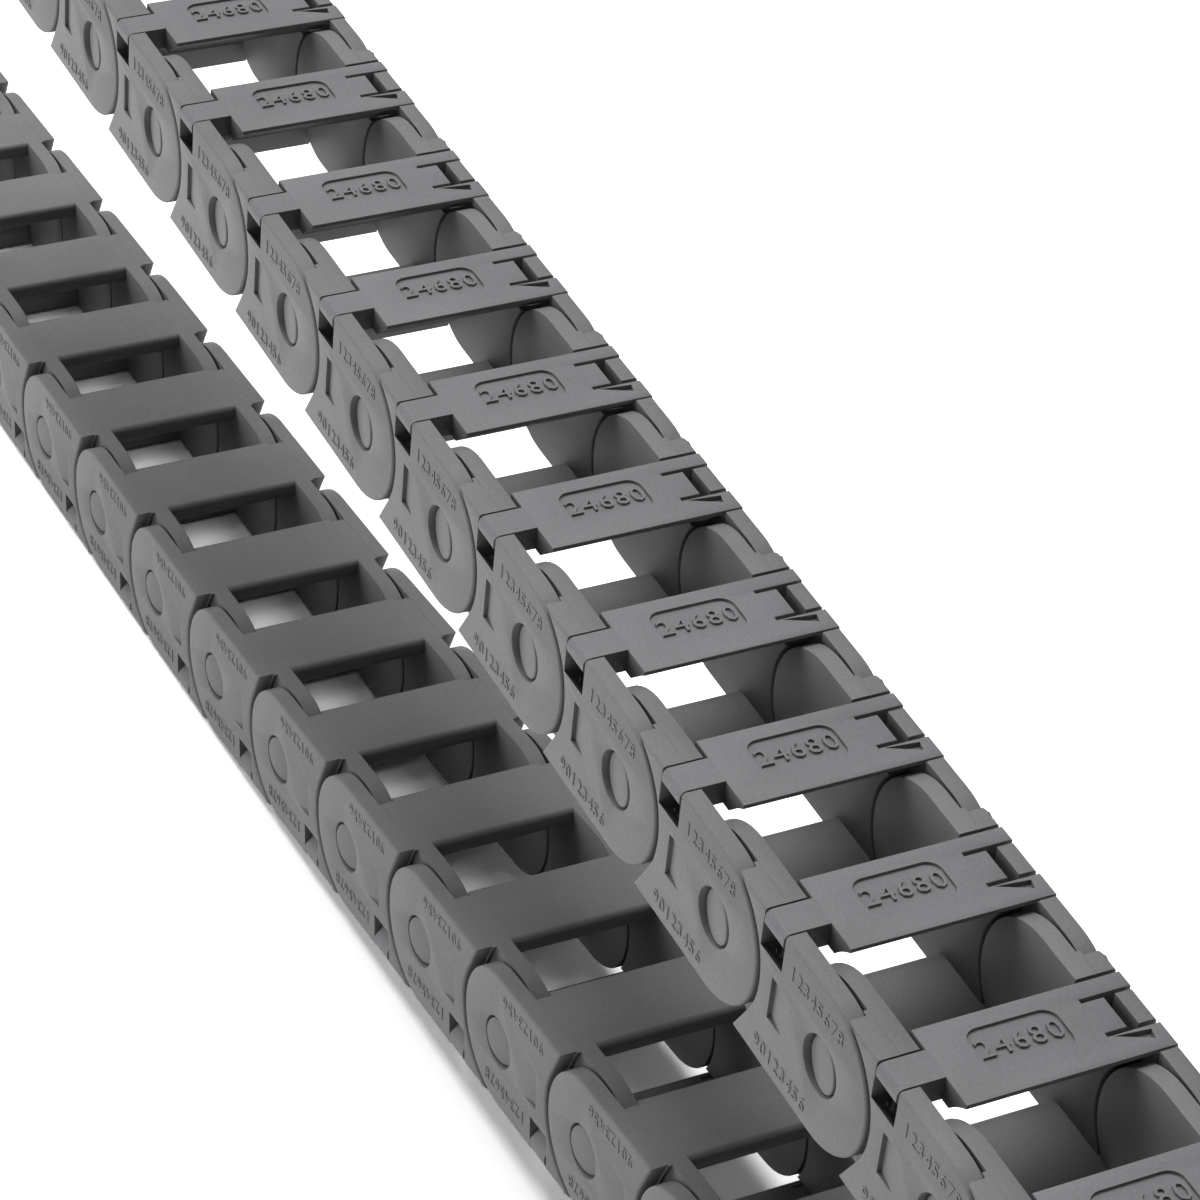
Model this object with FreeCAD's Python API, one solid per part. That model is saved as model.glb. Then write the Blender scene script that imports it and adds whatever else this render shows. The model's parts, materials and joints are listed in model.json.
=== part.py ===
import FreeCAD, Part
import math
import os

# Cable drag chain laid in a U: a run on the table, a tight bend, a run above it.
# Millimetres. Z up, X along the runs towards the bend, Y across the chain.
# Origin: middle of the screw pattern on the underside of the fixed end bracket.

os.makedirs("parts", exist_ok=True)

# Size of the chain
pitch = 18.0            # pin to pin
channel_w = 15.0        # clear inner width
channel_h = 10.0        # clear inner height
wall_h = 14.6           # height of the side plates
inner_t = 1.7           # inner layer of a side plate, carries the rear ear
outer_t = 1.8           # outer layer of a side plate, carries the front ear
layer_gap = 0.3         # between the ears of neighbouring links
fit_gap = 0.3           # round ears and lids, where pieces face each other

# Pins and stops
pin_r = 2.5
pin_fit = 0.08          # radial clearance of a pin in its ear
pin_len = 1.9           # outward from the inner ear
pin_slope = 12.0        # the pin's end face falls away to the rear, degrees
max_bend = 60.0         # a link stops on its neighbour here, degrees
round_sides = 12        # flats that stand for a round pin or hole

# Crossbar on the inside of the bend and lid on the outside
bar_x0 = 4.9
bar_x1 = 14.0
lid_x0 = 5.3
lid_x1 = 13.9
tongue_x0 = 7.4
tongue_x1 = 10.9
tongue_y = 8.6
prong_gap = 0.3
neck_gap = 0.2
lid_open = 110.0
hinge_r = 0.6           # cross pin that the lid turns on
hinge_fit = 0.06
hinge_inset = 1.0       # from the outer face of the plate
neck_under = 0.15       # the neck's slanted underside starts this far below the hinge's axis
window_h = 3.6
lug_y0 = 9.6            # catch for the free edge of the lid
slot_y = 6.6            # the slots beside the lid's tongue start here
lid_edge = 0.4          # thickness that the lid's front edge thins out to
seat_gap = 0.9          # free length of the seat in front of the lid
pad_depth = 0.25        # sunk field on top of the lid
pad_x0 = 6.9
pad_x1 = 11.4
pad_y0 = -3.8
pad_y1 = 4.2
pad_corner = 1.2
pocket_depth = 0.8      # angle shaped recess on the outer face

# End brackets
foot_len = 27.0         # from the pins to the end of the foot
screw_r = 1.7
screw_pitch = 11.0      # across the chain
screw_x = 16.0          # from the pins to the screw line

# Shape of the loop: degrees of bend at each pin, from the moving bracket on
start_bend = 5.2
upper_straight = 12
bend_angles = [59.0, 59.0, 53.4]
rise_angles = [0.6, 2.2, 0.6]
count_before_rise = 7
count_after_rise = 6

half_h = wall_h / 2.0
y_in = channel_w / 2.0
y_mid = y_in + inner_t
y_out0 = y_mid + layer_gap
y_out = y_out0 + outer_t
ear_r = half_h
roof = half_h - channel_h / 2.0
hinge_y = y_out - hinge_inset
hinge_z = half_h - roof / 2.0
neck_face = roof / 2.0 + neck_under
rear_x = lid_x0 - fit_gap
fixed_pin_x = screw_x


def vec(x, y, z):
    return FreeCAD.Vector(x, y, z)


def slab(points, y0, y1):
    # flat outline in X and Z, thickened along Y
    wire = Part.makePolygon([vec(x, y0, z) for x, z in points + points[:1]])
    return Part.Face(wire).extrude(vec(0, y1 - y0, 0))


def box(x0, x1, y0, y1, z0, z1):
    return Part.makeBox(x1 - x0, y1 - y0, z1 - z0, vec(x0, y0, z0))


def around(x, r, a0, a1, n):
    # corners on an arc about (x, 0), angles in degrees
    out = []
    for i in range(n + 1):
        a = math.radians(a0 + (a1 - a0) * i / n)
        out.append((x + r * math.cos(a), r * math.sin(a)))
    return out


def hollow(x, r, a0, a1, n):
    # flats that touch an arc about (x, 0) from outside it, so a round ear turns clear of them
    step = (a1 - a0) / n
    grow = r / math.cos(math.radians(step / 2.0))
    out = [around(x, r, a0, a0, 1)[0]]
    for i in range(n):
        out.append(around(x, grow, a0 + step * (i + 0.5), a0, 1)[0])
    out.append(around(x, r, a1, a1, 1)[0])
    return out


def many_sided(r, x, y0, y1, sides, outside):
    # prism in place of a round pin (corners on r) or a round hole (flats on r)
    if outside:
        r = r / math.cos(math.pi / sides)
    return slab(around(x, r, 0, 360.0 - 360.0 / sides, sides - 1), y0, y1)


def cross_rod(r, x0, x1, y, z, sides):
    points = []
    for i in range(sides):
        a = 2 * math.pi * (i + 0.5) / sides
        points.append(vec(x0, y + r * math.cos(a), z + r * math.sin(a)))
    return Part.Face(Part.makePolygon(points + points[:1])).extrude(vec(x1 - x0, 0, 0))


def both_sides(shape):
    # the same piece on the right and on the left side plate
    return [shape, shape.mirror(vec(0, 0, 0), vec(0, 1, 0))]


def join(parts):
    return parts[0].multiFuse(parts[1:]).removeSplitter()


def rear_edge():
    # hollow round the previous ear, then the flat that meets its neighbour at full bend
    reach = ear_r + fit_gap
    turn = math.radians(max_bend)
    low_x = (reach - half_h * math.cos(turn)) / math.sin(turn)
    top = math.degrees(math.asin(half_h / reach))
    return hollow(0, reach, top, max_bend - 90.0, 4) + [(low_x, -half_h)]


def front_edge():
    # the same towards the next link's ear, from the bottom up
    return [(pitch - x, z) for x, z in reversed(rear_edge())]


def outer_layer(x_end):
    if x_end == pitch:
        nose = around(pitch, ear_r, -90, 90, 8)
    else:
        nose = [(x_end, -half_h), (x_end, half_h)]
    plate = slab(rear_edge() + nose, y_out0, y_out)
    if x_end == pitch:
        plate = plate.cut(many_sided(pin_r + pin_fit, pitch, 0, y_out + 1, round_sides, True))
    return plate


def middle_layer(x_end):
    if x_end == pitch:
        nose = front_edge()
    else:
        nose = [(x_end, -half_h), (x_end, half_h)]
    return slab(rear_edge() + nose, y_mid, y_out0)


def inner_layer(x_end):
    # half round at the pin, then straight along both edges
    ear = around(0, ear_r, 90, 270, 8)
    if x_end == pitch:
        nose = front_edge()
    else:
        nose = [(x_end, -half_h), (x_end, half_h)]
    return slab(ear + nose, y_in, y_mid)


def rear_pin():
    pin = many_sided(pin_r, 0, y_mid - 0.5, y_mid + pin_len, round_sides, False)
    wedge = box(-3 * pin_r, 3 * pin_r, 0, 2 * pin_len, -2 * pin_r, 2 * pin_r)
    wedge.rotate(vec(0, 0, 0), vec(0, 0, 1), pin_slope)
    wedge.translate(vec(pin_r, y_mid + pin_len, 0))
    return pin.cut(wedge)


def angle_pocket():
    # upright groove with a short foot towards the front
    x0 = 9.75
    outline = [(x0, 1.75), (x0 + 0.9, 1.75), (x0 + 0.75, -1.35), (x0 + 1.85, -1.5),
               (x0 + 1.85, -2.1), (x0 - 0.1, -1.95)]
    return slab(outline, y_out - pocket_depth, y_out + 1)


def side_walls(x_end):
    # two ears, rear with pin and front with hole, joined in the middle of each side plate
    parts = []
    for layer in (outer_layer(x_end), middle_layer(x_end), inner_layer(x_end), rear_pin()):
        parts += both_sides(layer)
    return parts


def make_frame():
    bar = box(bar_x0, bar_x1, -y_in, y_in, -half_h, -channel_h / 2.0)
    frame = join(side_walls(pitch) + [bar])
    cuts = both_sides(angle_pocket())
    # seat of the lid's free edge on the right plate, with the catch left standing
    z_seat = half_h - roof - fit_gap
    seat = box(rear_x, lid_x1 + seat_gap, y_in - 1, y_out + 1, z_seat, half_h + 1)
    catch = box(tongue_x0, tongue_x1, lug_y0, y_out + 2, z_seat - 1, half_h + 2)
    cuts.append(seat.cut(catch))
    # window of the lid's neck through the left plate, open to the front behind the outer layer
    z_window = half_h - window_h
    cuts.append(box(tongue_x0, tongue_x1, -y_out - 1, -y_in + 1, z_window, half_h + 1))
    cuts.append(box(tongue_x0, pitch, -y_out0, -y_in + 1, z_window, half_h + 1))
    frame = frame.cut(cuts[0].multiFuse(cuts[1:]))
    axle = cross_rod(hinge_r, tongue_x0 - 0.5, tongue_x1 + 0.5, -hinge_y, hinge_z, 8)
    return frame.fuse(axle).removeSplitter()


def make_lid():
    z0 = half_h - roof
    outline = [(lid_x0, -y_in + fit_gap), (tongue_x0 + neck_gap, -y_in + fit_gap)]
    outline += [(tongue_x0 + neck_gap, -y_out), (tongue_x1 - neck_gap, -y_out)]
    outline += [(tongue_x1 - neck_gap, -y_in + fit_gap), (lid_x1, -y_in + fit_gap)]
    outline += [(lid_x1, y_out), (tongue_x1 + prong_gap, y_out), (tongue_x1 + prong_gap, slot_y)]
    outline += [(tongue_x1, slot_y), (tongue_x1, tongue_y), (tongue_x0, tongue_y)]
    outline += [(tongue_x0, slot_y), (tongue_x0 - prong_gap, slot_y)]
    outline += [(tongue_x0 - prong_gap, y_out), (lid_x0, y_out)]
    wire = Part.makePolygon([vec(x, y, z0) for x, y in outline + outline[:1]])
    lid = Part.Face(wire).extrude(vec(0, 0, roof))
    # hollows over the ears behind and in front of it
    rear = slab([(0, 0)] + hollow(0, ear_r + fit_gap, 75, -30, 5), -y_out - 1, y_out + 1)
    thin_r = math.hypot(pitch - lid_x1, half_h - lid_edge)
    middle = 180.0 - math.degrees(math.acos((pitch - lid_x1) / thin_r))
    front = slab([(pitch, 0)] + hollow(pitch, thin_r, middle - 8, middle + 32, 2), -y_out - 1, y_out + 1)
    # slanted underside of the neck's end
    drop = roof - neck_face
    chamfer = [vec(tongue_x0, -y_out - 1, z0 - 1), vec(tongue_x0, -y_out - 1, z0 + drop + 1),
               vec(tongue_x0, -y_out + drop + 1, z0 - 1)]
    wedge = Part.Face(Part.makePolygon(chamfer + chamfer[:1])).extrude(vec(tongue_x1 - tongue_x0, 0, 0))
    grow = hinge_r + hinge_fit
    bore = cross_rod(grow / math.cos(math.pi / 8), tongue_x0 - 1, tongue_x1 + 1, -hinge_y, hinge_z, 8)
    return lid.cut(rear.multiFuse([front])).cut(wedge).cut(bore).cut(make_pad())


def make_pad():
    # sunk field with cut corners
    c = pad_corner
    outline = [(pad_x0 + c, pad_y0), (pad_x1 - c, pad_y0), (pad_x1, pad_y0 + c), (pad_x1, pad_y1 - c),
               (pad_x1 - c, pad_y1), (pad_x0 + c, pad_y1), (pad_x0, pad_y1 - c), (pad_x0, pad_y0 + c)]
    wire = Part.makePolygon([vec(x, y, half_h - pad_depth) for x, y in outline + outline[:1]])
    return Part.Face(wire).extrude(vec(0, 0, 1))


def make_foot():
    # floor plate of an end bracket, its outer face flush with the side plates
    z0 = half_h - roof
    plate = box(bar_x0, foot_len, -y_in, y_in, z0, half_h)
    for y in (-screw_pitch / 2.0, screw_pitch / 2.0):
        plate = plate.cut(Part.makeCylinder(screw_r, roof + 2, vec(screw_x, y, z0 - 1)))
    return plate


def make_fixed_bracket():
    # rear ears with pins like a link's, with a foot in front of them
    bar = box(bar_x0, bar_x1, -y_in, y_in, -half_h, -channel_h / 2.0)
    return join(side_walls(foot_len) + [make_foot(), bar])


def make_moving_bracket():
    # front ears like a link's, with a foot behind them; the holes' axis at X = 0
    back = pitch - foot_len
    nose = around(pitch, ear_r, -90, 90, 8)
    outer = slab([(back, half_h), (back, -half_h)] + nose, y_out0, y_out)
    outer = outer.cut(many_sided(pin_r + pin_fit, pitch, 0, y_out + 1, round_sides, True))
    inner = slab([(back, half_h), (back, -half_h)] + front_edge(), y_in, y_out0)
    bar = box(bar_x0, bar_x1, -y_in, y_in, -half_h, -channel_h / 2.0)
    foot = make_foot().mirror(vec(0, 0, 0), vec(1, 0, 0))
    foot.translate(vec(pitch, 0, 0))
    return join(both_sides(outer) + both_sides(inner) + [foot, bar])


def placed(shape, x, z, turn):
    # turn in degrees, positive lifts the front of the piece
    out = shape.copy()
    out.rotate(vec(0, 0, 0), vec(0, 1, 0), -turn)
    out.translate(vec(x, 0, z))
    return out


def walk():
    # pins from the fixed bracket back to the moving one
    bends = [start_bend] + [0.0] * upper_straight + bend_angles
    bends += [0.0] * count_before_rise + rise_angles + [0.0] * count_after_rise
    bends.append(0.0)
    x = fixed_pin_x
    z = half_h
    heading = 180.0
    places = []
    for bend in reversed(bends):
        places.append((x, z, heading))
        heading = heading + bend
        x = x - pitch * math.cos(math.radians(heading))
        z = z - pitch * math.sin(math.radians(heading))
    return places, heading


def save(node, shape):
    shape.exportStep("parts/" + node + ".step")


if __name__ == "__main__":
    frame = make_frame()
    lid = make_lid()
    fixed = make_fixed_bracket()
    moving = make_moving_bracket()
    places, last = walk()
    count = len(places) - 1
    free_lids = upper_straight + 2
    save("fixed_bracket", placed(fixed, places[0][0], places[0][1], 180.0))
    for i in range(1, count + 1):
        # link number 1 hangs on the moving bracket
        number = count + 1 - i
        front_x, front_z, before = places[i - 1]
        pin_x, pin_z, heading = places[i]
        turn = math.degrees(math.atan2(front_z - pin_z, front_x - pin_x))
        body = placed(frame, pin_x, pin_z, turn)
        cover = placed(lid, pin_x, pin_z, turn)
        if number <= free_lids:
            save("link_%02d" % number, body)
            save("lid_%02d" % number, cover)
        else:
            save("link_%02d" % number, Part.makeCompound([body, cover]))
    moving.translate(vec(-pitch, 0, 0))
    save("moving_bracket", placed(moving, places[-1][0], places[-1][1], 0.0))
    print("links", count, "last heading", round(last, 3), "moving pins at", places[-1][:2])
    for name, s in (("frame", frame), ("lid", lid), ("fixed", fixed), ("moving", moving)):
        print(name, s.isValid(), len(s.Solids), round(s.Volume, 1), len(s.Faces))
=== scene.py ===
import json
import math

import bmesh
import bpy
from mathutils import Matrix, Vector


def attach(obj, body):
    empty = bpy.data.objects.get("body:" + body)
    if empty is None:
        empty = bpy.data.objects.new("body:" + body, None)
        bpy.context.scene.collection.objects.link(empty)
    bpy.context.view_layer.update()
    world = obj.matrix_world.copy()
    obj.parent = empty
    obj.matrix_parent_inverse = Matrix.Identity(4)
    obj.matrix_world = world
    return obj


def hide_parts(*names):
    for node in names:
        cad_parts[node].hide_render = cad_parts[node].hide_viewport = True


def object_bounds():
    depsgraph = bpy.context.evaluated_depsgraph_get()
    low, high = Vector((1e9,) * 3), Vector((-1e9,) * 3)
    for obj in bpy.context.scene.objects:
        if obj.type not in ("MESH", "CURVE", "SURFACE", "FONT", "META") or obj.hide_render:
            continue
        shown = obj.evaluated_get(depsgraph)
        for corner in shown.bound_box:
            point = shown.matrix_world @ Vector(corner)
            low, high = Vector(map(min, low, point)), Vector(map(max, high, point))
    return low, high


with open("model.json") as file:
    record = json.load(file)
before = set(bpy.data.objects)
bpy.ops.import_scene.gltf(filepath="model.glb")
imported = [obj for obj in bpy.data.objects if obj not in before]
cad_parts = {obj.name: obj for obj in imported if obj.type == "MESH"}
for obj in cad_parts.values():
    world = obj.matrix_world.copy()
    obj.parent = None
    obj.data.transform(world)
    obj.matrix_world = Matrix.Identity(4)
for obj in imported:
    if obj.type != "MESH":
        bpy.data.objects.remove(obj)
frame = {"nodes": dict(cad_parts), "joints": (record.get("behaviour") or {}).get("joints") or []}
boxBefore = [list(corner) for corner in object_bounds()]
mm = 0.001
print("frame loaded:", len(frame["nodes"]), "nodes")

cameraView = {
    "place": (0.49002, -0.13803, 0.24636),
    "forward": (-0.73863, 0.38969, -0.55006),
    "down": (0.51134, -0.20782, -0.83387),
    "imageWidth": 1200.0,  # pixels, as for the two values below
    "focal": 3988.5,
    "centre": (609.5, 638.2),
    "filmWidth": 36.0,
}


def makeCamera():
    data = bpy.data.cameras.new("photoCamera")
    camera = bpy.data.objects.new("photoCamera", data)
    bpy.context.collection.objects.link(camera)
    back = -Vector(cameraView["forward"]).normalized()
    up = -Vector(cameraView["down"])
    right = up.cross(back).normalized()
    up = back.cross(right).normalized()
    turn = Matrix((right, up, back)).transposed().to_4x4()
    camera.matrix_world = Matrix.Translation(cameraView["place"]) @ turn
    width = cameraView["imageWidth"]
    data.sensor_width = cameraView["filmWidth"]
    data.sensor_fit = "HORIZONTAL"
    data.lens = cameraView["filmWidth"] * cameraView["focal"] / width
    data.shift_x = (width / 2 - cameraView["centre"][0]) / width
    data.shift_y = (cameraView["centre"][1] - width / 2) / width
    data.clip_start = 0.01
    data.clip_end = 20.0
    bpy.context.scene.camera = camera


makeCamera()
print("camera set")

# Link sizes in millimetres, the same as in the part
linkSize = {
    "pitch": 18.0,
    "halfHeight": 7.3,
    "innerFace": 7.5,
    "innerOuter": 9.2,
    "outerInner": 9.5,
    "plateFace": 11.22,    # the numbers on it reach the part's own 11.3
    "outerFace": 11.3,
    "gap": 0.3,
    "plateGap": 0.22,      # the outer plates stand this much further apart
    "holeRadius": 2.6,
    "maxBend": 60.0,
    "barFrom": 4.9,
    "barTo": 14.0,
    "barRound": 0.6,       # soft rear edge of the crossbar
    "barInnerRound": 1.3,  # its edge towards the cables
    "channelHalf": 5.0,
    "earSteps": 12,        # steps in each quarter of an ear's round end
    "plateRound": 0.28,
    "railRound": 0.15,
    "holeRound": 0.14,
    "hair": 0.02,          # keeps walls that lie in one another off the same plane
    "lap": 0.1,            # the middle layer reaches this far into the layers beside it
    "root": 0.4,           # crossbar and foot reach this far into the side plates
    "past": 1.0,           # cutting tools reach this far past what they cut
    "near": 5.0,           # further in than any face of a side plate
    "far": 14.0,           # further out than any face of a link
}
lidSize = {
    "from": 5.3,
    "to": 13.9,
    "tongueFrom": 7.4,
    "tongueTo": 10.9,
    "tongueEnd": 8.6,
    "slotStart": 6.6,
    "prongGap": 0.38,
    "neckGap": 0.2,
    "neckFace": 1.3,
    "neckRound": 0.6,
    "neckUnderRound": 0.25,
    "windowHeight": 3.6,
    "sillDrop": 2.0,
    "catchFrom": 9.6,
    "frontEdge": 0.4,
    "seatGap": 0.25,
    "hingeInset": 1.0,
    "hingeRadius": 0.6,
    "hingeFit": 0.06,
    "hingeSides": 20,
    "hingeRoot": 0.5,      # the cross pin's ends sit this deep in the window's sides
    "padFrom": (6.9, -3.8),
    "padTo": (11.4, 4.2),
    "padCorner": 1.3,
    "padDepth": 0.25,
    "softEdge": 0.14,
    "ramp": ((11.45, 7.0), (12.75, 10.0), (11.75, 10.2)),    # sunk wedge beside the front prong
    "rampDepth": 0.45,
}
# how near counts as at the same place, in millimetres, and what counts as a corner, in radians
closeTo = {"joined": 0.0002, "plane": 0.0005, "spot": 0.001, "round": 0.01, "edge": 0.05, "corner": 0.5}


def newPiece(name, bm):
    mesh = bpy.data.meshes.new(name)
    bm.to_mesh(mesh)
    bm.free()
    piece = bpy.data.objects.new(name, mesh)
    bpy.context.collection.objects.link(piece)
    return piece


def block(x0, x1, y0, y1, z0, z1):
    bm = bmesh.new()
    bmesh.ops.create_cube(bm, size=1.0)
    bmesh.ops.scale(bm, vec=(x1 - x0, y1 - y0, z1 - z0), verts=bm.verts)
    bmesh.ops.translate(bm, vec=((x0 + x1) / 2, (y0 + y1) / 2, (z0 + z1) / 2), verts=bm.verts)
    return newPiece("block", bm)


def roundBar(radius, x, z, y0, y1, segments=72, along="Y"):
    # where its middle line lies, then its two ends
    bm = bmesh.new()
    bmesh.ops.create_cone(bm, cap_ends=True, segments=segments,
                          radius1=radius, radius2=radius, depth=y1 - y0)
    middle = (y0 + y1) / 2
    if along == "Y":
        place = Matrix.Translation((x, middle, z)) @ Matrix.Rotation(math.pi / 2, 4, "X")
    elif along == "X":
        place = Matrix.Translation((middle, x, z)) @ Matrix.Rotation(math.pi / 2, 4, "Y")
    else:
        place = Matrix.Translation((x, z, middle))
    bmesh.ops.transform(bm, matrix=place, verts=bm.verts)
    return newPiece("roundBar", bm)


def wedgeBlock(corners, low, high, along):
    # a flat outline of a few corners, pulled to a thickness
    bm = bmesh.new()
    spots = [(low, a, b) if along == "X" else (a, b, low) for a, b in corners]
    face = bm.faces.new([bm.verts.new(spot) for spot in spots])
    pulled = bmesh.ops.extrude_face_region(bm, geom=[face])["geom"]
    step = (high - low, 0, 0) if along == "X" else (0, 0, high - low)
    bmesh.ops.translate(bm, vec=step, verts=[v for v in pulled if isinstance(v, bmesh.types.BMVert)])
    bmesh.ops.recalc_face_normals(bm, faces=bm.faces)
    return newPiece("wedgeBlock", bm)


def cut(piece, *tools):
    # each tool is used once, then removed
    for tool in tools:
        step = piece.modifiers.new("step", "BOOLEAN")
        step.operation = "DIFFERENCE"
        step.solver = "EXACT"
        step.object = tool
        bpy.context.view_layer.update()
        seen = bpy.context.evaluated_depsgraph_get()
        mesh = bpy.data.meshes.new_from_object(piece.evaluated_get(seen))
        piece.modifiers.clear()
        piece.data = mesh
        bpy.data.objects.remove(tool)
    return piece


def softened(piece, width, segments, isSoft):
    # rounds the edges that isSoft picks
    bm = bmesh.new()
    bm.from_mesh(piece.data)
    bmesh.ops.remove_doubles(bm, verts=bm.verts, dist=closeTo["spot"])
    top, bottom = max(v.co.z for v in bm.verts), min(v.co.z for v in bm.verts)
    bmesh.ops.bevel(bm, geom=[e for e in bm.edges if isSoft(e)], offset=width, segments=segments,
                    affect="EDGES", profile=0.5, material=-1)
    for v in bm.verts:
        v.co.z = min(max(v.co.z, bottom), top)    # a bevel runs out past a very sharp corner
    bmesh.ops.remove_doubles(bm, verts=bm.verts, dist=closeTo["spot"])
    bm.to_mesh(piece.data)
    bm.free()
    return piece


def rimOf(axis, level):
    # corners that lie in one plane
    def isRim(e):
        flat = all(abs(v.co[axis] - level) < closeTo["plane"] for v in e.verts)
        return flat and e.calc_face_angle(0.0) > closeTo["corner"]
    return isRim


def cornersAt(x, z):
    # corners that run across the link
    spot = closeTo["spot"]
    return lambda e: (all(abs(v.co.x - x) < spot and abs(abs(v.co.z) - z) < spot for v in e.verts)
                      and abs(e.verts[0].co.z - e.verts[1].co.z) < spot)


def nearHole(e, x):
    reach = linkSize["holeRadius"] + closeTo["round"]
    return all(math.hypot(v.co.x - x, v.co.z) < reach for v in e.verts)


def together(name, *pieces):
    bm = bmesh.new()
    for piece in pieces:
        bm.from_mesh(piece.data)
        bpy.data.objects.remove(piece)
    return newPiece(name, bm)


def mirrored(piece):
    # the same piece for the left side
    bm = bmesh.new()
    bm.from_mesh(piece.data)
    bmesh.ops.scale(bm, vec=(1, -1, 1), verts=bm.verts)
    bmesh.ops.reverse_faces(bm, faces=bm.faces)
    return newPiece("mirrored", bm)


def hollow(atFront=False, grow=0.0):
    # room round the neighbour's ear, and the flat that meets it at full bend
    s = linkSize
    reach, far = s["halfHeight"] + s["gap"] + grow, s["far"]
    ring = roundBar(reach, 0, 0, s["near"], far)
    flat = block(-far, reach, s["near"], far, -far, 0)
    flat.data.transform(Matrix.Rotation(math.radians(90.0 - s["maxBend"]), 4, "Y"))
    if atFront:
        for tool in (ring, flat):
            tool.data.transform(Matrix.Translation((s["pitch"], 0, 0)) @ Matrix.Scale(-1, 4, (1, 0, 0)))
            tool.data.flip_normals()
    return ring, flat


def outerLayer(xEnd):
    s = linkSize
    h = s["halfHeight"]
    full = xEnd == s["pitch"]
    nose = xEnd + h - s["hair"]
    plate = block(0, nose if full else xEnd, s["outerInner"], s["plateFace"], -h, h)
    if full:
        softened(plate, h - s["hair"], s["earSteps"], cornersAt(nose, h))
    cut(plate, *hollow(False, s["plateGap"]))
    softened(plate, s["plateRound"], 3, rimOf(1, s["plateFace"]))
    if full:
        cut(plate, roundBar(s["holeRadius"], xEnd, 0, 0, s["far"]))
        softened(plate, s["holeRound"], 2, lambda e: rimOf(1, s["plateFace"])(e) and nearHole(e, xEnd))
        cut(plate, slopingPocket())
    return plate


def middleLayer(xEnd):
    s = linkSize
    h = s["halfHeight"] - s["hair"]
    wall = block(0, xEnd - s["hair"], s["innerOuter"] - s["lap"], s["outerInner"] + s["lap"], -h, h)
    cut(wall, *hollow(False, s["hair"]))
    if xEnd == s["pitch"]:
        cut(wall, *hollow(True, s["hair"]))
    return wall


def innerLayer(xEnd):
    s = linkSize
    h = s["halfHeight"]
    nose = -h + s["hair"]
    wall = block(nose, xEnd, s["innerFace"], s["innerOuter"], -h, h)
    softened(wall, -nose, s["earSteps"], cornersAt(nose, h))
    if xEnd == s["pitch"]:
        cut(wall, *hollow(True))
    return softened(wall, s["railRound"], 2, rimOf(1, s["innerFace"]))


pinLook = {"radius": 2.37, "length": 2.08, "root": 0.4, "slope": 8.0, "round": 0.2}


def rearPin():
    # round pin with a slanted end, so that the ear rides over it when a link is snapped on
    start = linkSize["innerOuter"] - pinLook["root"]
    end = linkSize["innerOuter"] + pinLook["length"]
    slope = math.radians(pinLook["slope"])
    pin = roundBar(pinLook["radius"], 0, 0, start, end + linkSize["past"])
    bm = bmesh.new()
    bm.from_mesh(pin.data)
    bpy.data.objects.remove(pin)
    bmesh.ops.bisect_plane(bm, geom=bm.verts[:] + bm.edges[:] + bm.faces[:],
                           plane_co=(pinLook["radius"], end, 0),
                           plane_no=(-math.sin(slope), math.cos(slope), 0), clear_outer=True)
    rim = [e for e in bm.edges if e.is_boundary]
    bmesh.ops.holes_fill(bm, edges=rim)
    bmesh.ops.bevel(bm, geom=rim, offset=pinLook["round"], segments=3,
                    affect="EDGES", profile=0.5, material=-1)
    bmesh.ops.recalc_face_normals(bm, faces=bm.faces)
    return newPiece("pin", bm)


pocketLook = {"x": (9.75, 12.1), "z": (-2.15, 2.1), "depth": 0.4}


def slopingPocket():
    # recess that rises towards the front
    x0, x1 = pocketLook["x"]
    face = linkSize["plateFace"]
    above = face + linkSize["past"]
    return wedgeBlock([(x0, face - pocketLook["depth"]), (x1, face), (x1, above), (x0, above)],
                      *pocketLook["z"], "Z")


def seatTool(xEnd):
    # open step in the right side for the lid, round the catch
    s, d = linkSize, lidSize
    past, far = s["past"], s["far"]
    seat = block(d["from"] - s["gap"], xEnd, s["innerFace"] - past, s["outerFace"] + past,
                 s["channelHalf"] - s["gap"], s["halfHeight"] + past)
    return cut(seat, block(d["tongueFrom"], d["tongueTo"], d["catchFrom"], far, 0, far))


def openLeft(layer, kind):
    # window for the lid's neck; its sill falls away inwards
    s, d = linkSize, lidSize
    x0, x1 = d["tongueFrom"], d["tongueTo"]
    past, y0, y1 = s["past"], -s["outerFace"], -s["innerFace"]
    low, top = s["halfHeight"] - d["windowHeight"], s["halfHeight"] + past
    cut(layer, block(x0, x1, y0 - past, y1 + past, low, top))
    if kind == outerLayer:
        deep = -s["outerInner"] + s["lap"]
        sill = [(y0, low), (deep, low - d["sillDrop"]), (deep, low + past), (y0, low + past)]
        return cut(layer, wedgeBlock(sill, x0, x1, "X"))
    if kind == middleLayer:
        cut(layer, block(x0, x1, y0, y1, low - d["sillDrop"], top))
    # the notch in front of the window, behind the outer layer
    return cut(layer, block(x1 - s["lap"], s["pitch"] + past,
                            -s["outerInner"] - past, y1 + past, low, top))


def makeCrossbar():
    s = linkSize
    low, half = s["halfHeight"] - s["hair"], s["innerFace"] + s["root"]
    bar = block(s["barFrom"], s["barTo"], -half, half, -low, -s["channelHalf"])
    softened(bar, s["barRound"], 6, cornersAt(s["barFrom"], low))
    return softened(bar, s["barInnerRound"], 8, cornersAt(s["barFrom"], s["channelHalf"]))


def crossPin(radius, x0, x1):
    # the lid's hinge, and the bore for it
    s, d = linkSize, lidSize
    y, z = -s["outerFace"] + d["hingeInset"], (s["halfHeight"] + s["channelHalf"]) / 2
    return roundBar(radius, y, z, x0, x1, d["hingeSides"], "X")


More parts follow.
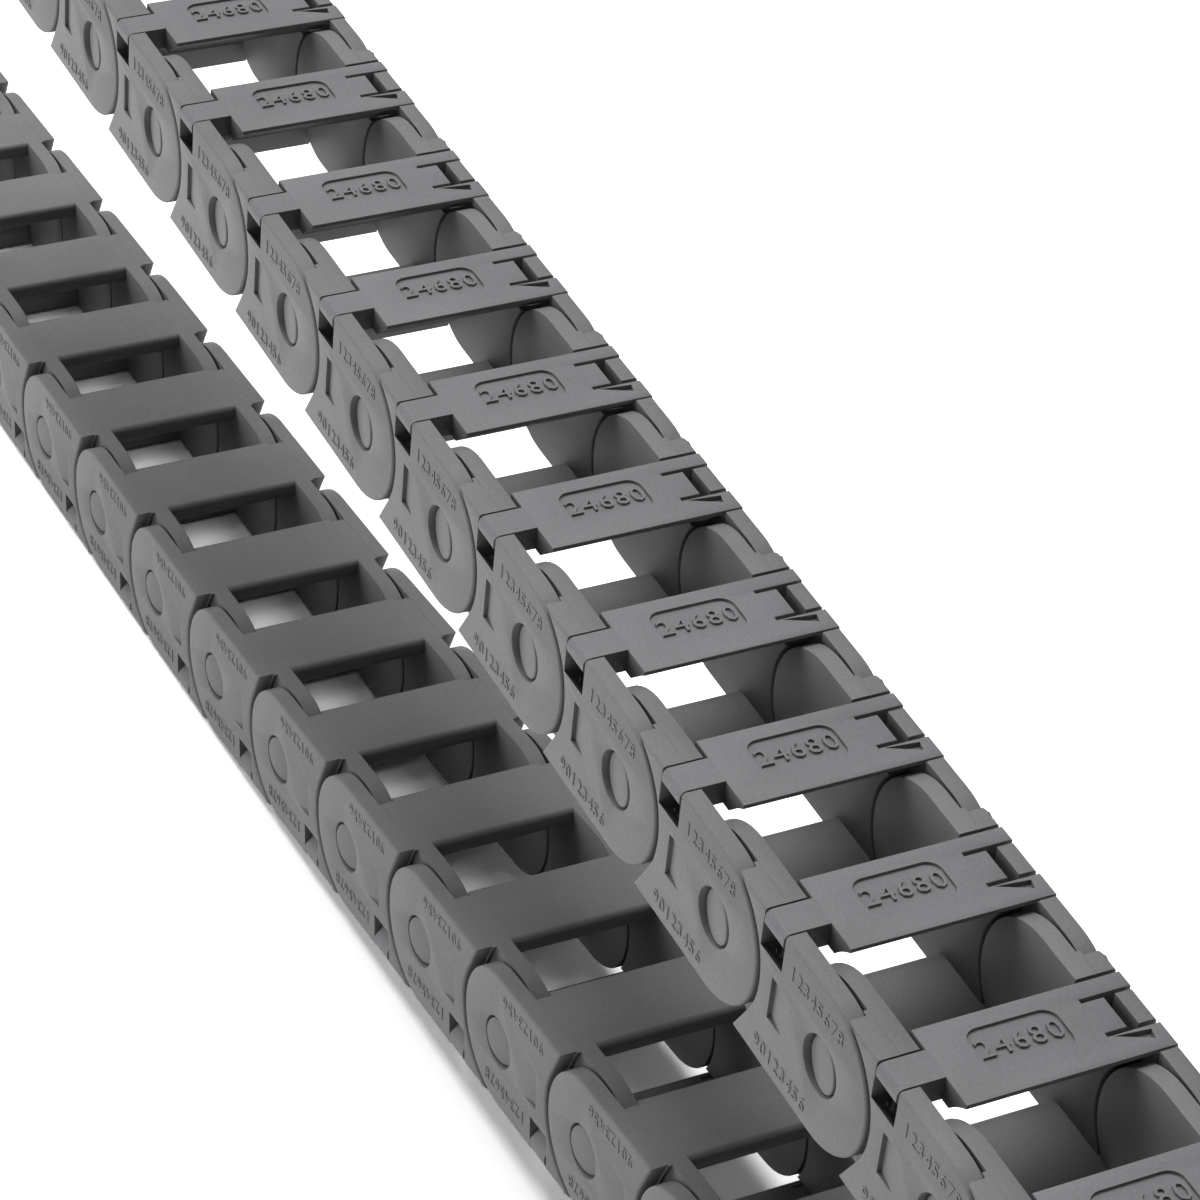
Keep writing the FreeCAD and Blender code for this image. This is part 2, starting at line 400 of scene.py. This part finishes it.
def makeLink():
    s, d = linkSize, lidSize
    h = s["halfHeight"]
    shells = [makeCrossbar()]
    for make in (outerLayer, middleLayer, innerLayer):
        right = make(s["pitch"])
        shells.append(openLeft(mirrored(right), make))
        # behind the outer layer the seat runs on, so that no sliver stays over the hollow
        seatEnd = d["to"] + d["seatGap"] if make == outerLayer else s["pitch"] - s["past"]
        shells.append(cut(right, seatTool(seatEnd)))
    pin = rearPin()
    shells += [mirrored(pin), pin]
    x0, x1 = d["tongueFrom"] - d["hingeRoot"], d["tongueTo"] + d["hingeRoot"]
    shells.append(crossPin(d["hingeRadius"], x0, x1))
    return together("link", *shells)


def makeNeck():
    # the lid's arm to its hinge, round outside and slanted underneath
    s, d = linkSize, lidSize
    h, z0, out, past = s["halfHeight"], s["channelHalf"], -s["outerFace"], s["past"]
    neck = block(d["tongueFrom"] + d["neckGap"], d["tongueTo"] - d["neckGap"],
                 out, -s["innerFace"] + past, z0, h - s["hair"] / 2)
    under = h - d["neckFace"]
    slanted = [(out - past, under), (out, under), (out + under - z0, z0),
               (out + under - z0, z0 - past), (out - past, z0 - past)]
    cut(neck, wedgeBlock(slanted, 0, s["pitch"], "X"))

    def outerEdge(low, high):
        return lambda e: all(v.co.y < out + closeTo["spot"] and low < v.co.z < high for v in e.verts)

    softened(neck, d["neckRound"], 5, outerEdge(h - closeTo["edge"], h))
    return softened(neck, d["neckUnderRound"], 3, outerEdge(z0, under + closeTo["edge"]))


def makeLid():
    s, d = linkSize, lidSize
    h, z0, far = s["halfHeight"], s["channelHalf"], s["far"]
    lid = block(d["from"], d["to"], -s["innerFace"] + s["gap"], s["outerFace"], z0, h)
    cut(lid, block(d["tongueFrom"], d["tongueTo"], d["tongueEnd"], far, 0, far))
    for x0 in (d["tongueFrom"] - d["prongGap"], d["tongueTo"]):
        x1 = x0 + d["prongGap"]
        cut(lid, block(x0 - closeTo["spot"], x1 + closeTo["spot"], d["slotStart"], far, 0, far))
    softened(lid, d["softEdge"], 2, rimOf(2, h))
    # both long edges follow the round ears below them
    thinRadius = math.hypot(s["pitch"] - d["to"], h - d["frontEdge"])
    cut(lid, roundBar(h + s["gap"], 0, 0, -far, far), roundBar(thinRadius, s["pitch"], 0, -far, far))
    pad = block(d["padFrom"][0], d["padTo"][0], d["padFrom"][1], d["padTo"][1],
                h - d["padDepth"], h + s["past"])
    softened(pad, d["padCorner"], 6, lambda e: abs(e.verts[0].co.z - e.verts[1].co.z) > d["padDepth"])
    ramp = wedgeBlock(d["ramp"], h - d["rampDepth"], h + s["past"], "Z")
    cut(lid, pad, ramp)
    lid = together("lid", lid, makeNeck())
    x0, x1 = d["tongueFrom"] - s["past"], d["tongueTo"] + s["past"]
    return cut(lid, crossPin(d["hingeRadius"] + d["hingeFit"], x0, x1))


bracketSize = {
    "footLength": 27.0,
    "screwRadius": 1.7,
    "screwSides": 48,
    "screwPitch": 11.0,
    "screwFromPin": 16.0,
    "screwSink": 0.35,
}


def makeFoot(x0, x1, screwX):
    # floor plate with two screw holes, their rims chamfered
    s, b = linkSize, bracketSize
    h, z0, half = s["halfHeight"] - s["hair"], s["channelHalf"], s["innerFace"] + s["root"]
    foot = block(x0, x1, -half, half, z0, h)
    screwY = b["screwPitch"] / 2
    under, over = z0 - s["past"], h + s["past"]
    for y in (-screwY, screwY):
        cut(foot, roundBar(b["screwRadius"], screwX, y, under, over, b["screwSides"], "Z"))

    reach = b["screwRadius"] + closeTo["round"]

    def screwRim(e):
        places = [math.hypot(v.co.x - screwX, abs(v.co.y) - screwY) for v in e.verts]
        return rimOf(2, z0)(e) and all(place < reach for place in places)

    return softened(foot, b["screwSink"], 2, screwRim)


def makeFixedBracket():
    s, b = linkSize, bracketSize
    end = b["footLength"]
    shells = [makeFoot(s["barFrom"], end - s["hair"], b["screwFromPin"]), makeCrossbar()]
    for piece in (outerLayer(end), middleLayer(end), innerLayer(end), rearPin()):
        shells += [mirrored(piece), piece]
    return together("fixedBracket", *shells)


def makeMovingBracket():
    # ears with holes in front, the foot behind them
    s, b = linkSize, bracketSize
    h, x1 = s["halfHeight"], s["pitch"]
    back = x1 - b["footLength"]
    nose = x1 + h - s["hair"]
    outer = block(back, nose, s["outerInner"], s["plateFace"], -h, h)
    softened(outer, nose - x1, s["earSteps"], cornersAt(nose, h))
    softened(outer, s["plateRound"], 3, rimOf(1, s["plateFace"]))
    cut(outer, roundBar(s["holeRadius"], x1, 0, 0, s["far"]))
    softened(outer, s["holeRound"], 2, lambda e: rimOf(1, s["plateFace"])(e) and nearHole(e, x1))
    low = h - s["hair"]
    inner = block(back + s["hair"], x1, s["innerFace"], s["outerInner"] + s["lap"], -low, low)
    cut(inner, *hollow(True))
    softened(inner, s["railRound"], 2, rimOf(1, s["innerFace"]))
    shells = [makeFoot(back + 2 * s["hair"], x1 - s["barFrom"], x1 - b["screwFromPin"]), makeCrossbar()]
    for piece in (outer, inner):
        shells += [mirrored(piece), piece]
    return together("movingBracket", *shells)


link = makeLink()
print("link made:", len(link.data.polygons), "faces")
lid = makeLid()
print("lid made:", len(lid.data.polygons), "faces")

digitLook = {"sizePerHeight": 1.35, "spacing": 1.12, "belowEdge": 0.03, "belowFace": 0.005}


def digits(text, height, thick, matrix):
    curve = bpy.data.curves.new("digits", "FONT")
    curve.body = text
    curve.size = height * digitLook["sizePerHeight"]
    curve.extrude = thick
    curve.space_character = digitLook["spacing"]
    curve.align_x = "CENTER"
    curve.align_y = "CENTER"
    curve.resolution_u = 2
    word = bpy.data.objects.new("digits", curve)
    bpy.context.collection.objects.link(word)
    bpy.context.view_layer.update()
    seen = bpy.context.evaluated_depsgraph_get()
    mesh = bpy.data.meshes.new_from_object(word.evaluated_get(seen))
    mesh.transform(matrix)
    bpy.data.objects.remove(word)
    return mesh


# plain raised numbers: text, x and z of the middle of each row, height
plateRows = {"upper": ("12345678", 16.4, 4.85), "lower": ("90123456", 12.6, -5.55), "height": 1.45}
lidNumber = {"text": "24680", "place": (9.15, 0.2), "height": 2.05}


def plateDigits():
    upright = Matrix.Rotation(math.pi / 2, 4, "X")
    face, rise = linkSize["plateFace"], linkSize["outerFace"] - linkSize["plateFace"]
    found = []
    for row in ("upper", "lower"):
        text, x, z = plateRows[row]
        for side, turn in ((-1, Matrix.Identity(4)), (1, Matrix.Rotation(math.pi, 4, "Z"))):
            matrix = Matrix.Translation((x, side * face, z)) @ turn @ upright
            found.append(digits(text, plateRows["height"], rise - digitLook["belowFace"], matrix))
    return found


def lidDigits():
    x, y = lidNumber["place"]
    z = linkSize["halfHeight"] - lidSize["padDepth"]
    matrix = Matrix.Translation((x, y, z)) @ Matrix.Rotation(math.pi / 2, 4, "Z")
    rise = lidSize["padDepth"] - digitLook["belowEdge"]
    return digits(lidNumber["text"], lidNumber["height"], rise, matrix)


def placement(rearPin, frontPin):
    # from a link's own millimetres to where it stands, rear pin first
    ahead = (frontPin - rearPin).normalized()
    across = Vector((0, 1, 0))
    up = ahead.cross(across)
    turn = Matrix((ahead, across, up)).transposed().to_4x4()
    return Matrix.Translation(rearPin) @ turn @ Matrix.Scale(mm, 4)


def joined(meshes):
    bm = bmesh.new()
    for mesh in meshes:
        bm.from_mesh(mesh)
    bmesh.ops.remove_doubles(bm, verts=bm.verts, dist=closeTo["joined"])
    return bm


plasticLook = {
    "sideColor": (0.148, 0.144, 0.146),
    "lidColor": (0.150, 0.151, 0.157),
    "toneShares": (0.82, 1.18),    # the colour wanders between these shares of itself
    "tonePlaces": (0.3, 0.7),
    "cloudSize": 90.0,
    "cloudDetail": 4.0,
    "grainSize": 3600.0,
    "grainDetail": 2.0,
    "grainDepth": 0.00003,
    "grainStrength": 0.3,
    "roughness": 0.55,
    "specular": 0.35,
}


def noise(tree, vector, scale, detail):
    node = tree.nodes.new("ShaderNodeTexNoise")
    node.inputs["Scale"].default_value = scale
    node.inputs["Detail"].default_value = detail
    tree.links.new(vector, node.inputs["Vector"])
    return node.outputs["Fac"]


def plastic(name, color):
    look = plasticLook
    material = bpy.data.materials.new(name)
    material.use_nodes = True
    tree = material.node_tree
    nodes, links = tree.nodes, tree.links
    shader = nodes["Principled BSDF"]
    where = nodes.new("ShaderNodeTexCoord").outputs["Object"]
    cloud = noise(tree, where, look["cloudSize"], look["cloudDetail"])
    grain = noise(tree, where, look["grainSize"], look["grainDetail"])
    both = nodes.new("ShaderNodeMath")
    both.operation = "ADD"
    half = nodes.new("ShaderNodeMath")
    half.operation = "MULTIPLY"
    half.inputs[1].default_value = 0.5
    tone = nodes.new("ShaderNodeValToRGB")
    for end, place, share in zip(tone.color_ramp.elements, look["tonePlaces"], look["toneShares"]):
        end.position = place
        end.color = [c * share for c in color] + [1.0]
    bump = nodes.new("ShaderNodeBump")
    bump.inputs["Distance"].default_value = look["grainDepth"]
    bump.inputs["Strength"].default_value = look["grainStrength"]
    links.new(cloud, both.inputs[0])
    links.new(grain, both.inputs[1])
    links.new(both.outputs[0], half.inputs[0])
    links.new(half.outputs[0], tone.inputs["Fac"])
    links.new(tone.outputs["Color"], shader.inputs["Base Color"])
    links.new(grain, bump.inputs["Height"])
    links.new(bump.outputs["Normal"], shader.inputs["Normal"])
    shader.inputs["Roughness"].default_value = look["roughness"]
    shader.inputs["Specular IOR Level"].default_value = look["specular"]
    return material


sidePlastic = plastic("linkPlastic", plasticLook["sideColor"])
lidPlastic = plastic("lidPlastic", plasticLook["lidColor"])
shading = {"smoothBelow": 2.0, "sharpAbove": 40.0}    # square millimetres, degrees


def finishPiece(name, bm, matrix, material):
    bmesh.ops.transform(bm, matrix=matrix, verts=bm.verts)
    piece = newPiece(name, bm)
    piece.data.materials.clear()
    piece.data.materials.append(material)
    for face in piece.data.polygons:
        face.use_smooth = face.area < shading["smoothBelow"] * mm * mm
    piece.data.set_sharp_from_angle(angle=math.radians(shading["sharpAbove"]))
    return piece


pinPlace = {j["name"]: Vector(j["pos_m"]) for j in frame["joints"] if j["name"].startswith("pin_")}
linkCount = len(pinPlace) - 1
rows = plateDigits()
number = lidDigits()
for n in range(1, linkCount + 1):
    matrix = placement(pinPlace["pin_%02d" % n], pinPlace["pin_%02d" % (n + 1)])
    body = "link_%02d" % n
    piece = finishPiece("chainLink_%02d" % n, joined([link.data] + rows), matrix, sidePlastic)
    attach(piece, body)
    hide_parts(body)
    cover = finishPiece("chainLid_%02d" % n, joined([lid.data, number]), matrix, lidPlastic)
    if "lid_%02d" % n in frame["nodes"]:
        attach(cover, "lid_%02d" % n)
        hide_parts("lid_%02d" % n)
    else:
        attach(cover, body)
bpy.data.objects.remove(link)
bpy.data.objects.remove(lid)
print("chain laid out:", linkCount, "links")

step = Vector((linkSize["pitch"] * mm, 0, 0))
lastPin, firstPin = pinPlace["pin_%02d" % (linkCount + 1)], pinPlace["pin_01"]
for name, node, make, rear, front in (
        ("fixedBracket", "fixed_bracket", makeFixedBracket, lastPin, lastPin - step),
        ("movingBracket", "moving_bracket", makeMovingBracket, firstPin - step, firstPin)):
    shape = make()
    piece = finishPiece(name, joined([shape.data]), placement(rear, front), sidePlastic)
    bpy.data.objects.remove(shape)
    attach(piece, node)
    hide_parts(node)
print("brackets made")

floorLook = {
    "color": 0.93,
    "seenColor": 1.7,
    "size": 2.4,
    "drop": 0.0002,        # below the part, so that the two never share a plane
    "roughness": 0.9,
    "specular": 0.1,
}


def seenLevel(tree, target, usual, seen):
    # one level for the light on the object, another for what is seen, also in gloss or through glass
    path = tree.nodes.new("ShaderNodeLightPath")
    total = path.outputs["Is Camera Ray"]
    for name in ("Is Glossy Ray", "Is Transmission Ray"):
        step = tree.nodes.new("ShaderNodeMath")
        step.operation = "ADD"
        step.use_clamp = True
        tree.links.new(total, step.inputs[0])
        tree.links.new(path.outputs[name], step.inputs[1])
        total = step.outputs[0]
    level = tree.nodes.new("ShaderNodeMapRange")
    level.inputs["To Min"].default_value = usual
    level.inputs["To Max"].default_value = seen
    tree.links.new(total, level.inputs["Value"])
    tree.links.new(level.outputs["Result"], target)


def makeFloor():
    # pale floor that keeps the shadow; the camera sees it white where no shadow falls
    bm = bmesh.new()
    bmesh.ops.create_grid(bm, x_segments=1, y_segments=1, size=floorLook["size"] / 2)
    floor = newPiece("floor", bm)
    floor.location.z = min(boxBefore[0][2], 0.0) - floorLook["drop"]
    material = bpy.data.materials.new("paleFloor")
    material.use_nodes = True
    tree = material.node_tree
    shader = tree.nodes["Principled BSDF"]
    seenLevel(tree, shader.inputs["Base Color"], floorLook["color"], floorLook["seenColor"])
    shader.inputs["Roughness"].default_value = floorLook["roughness"]
    shader.inputs["Specular IOR Level"].default_value = floorLook["specular"]
    floor.data.materials.append(material)


lampLook = {
    "world": 0.12,
    "key": ((-0.6, -1.6, 0.75), 1.3, 17.5),     # place, size, power
    "top": ((-0.3, 0.1, 1.5), 1.1, 23.0),
    "aim": (0.2, 0.0, 0.03),
}


def makeLight():
    world = bpy.data.worlds.new("studio")
    bpy.context.scene.world = world
    world.use_nodes = True
    background = world.node_tree.nodes["Background"]
    background.inputs["Color"].default_value = (1.0, 1.0, 1.0, 1.0)
    seenLevel(world.node_tree, background.inputs["Strength"], lampLook["world"], 1.0)
    for name in ("key", "top"):
        place, size, power = lampLook[name]
        data = bpy.data.lights.new(name, "AREA")
        data.size = size
        data.energy = power
        lamp = bpy.data.objects.new(name, data)
        bpy.context.collection.objects.link(lamp)
        lamp.location = place
        aim = Vector(lampLook["aim"]) - Vector(place)
        lamp.rotation_euler = aim.to_track_quat("-Z", "Y").to_euler()


makeFloor()
makeLight()
bpy.context.scene.view_settings.view_transform = "Standard"
print("floor and light set")
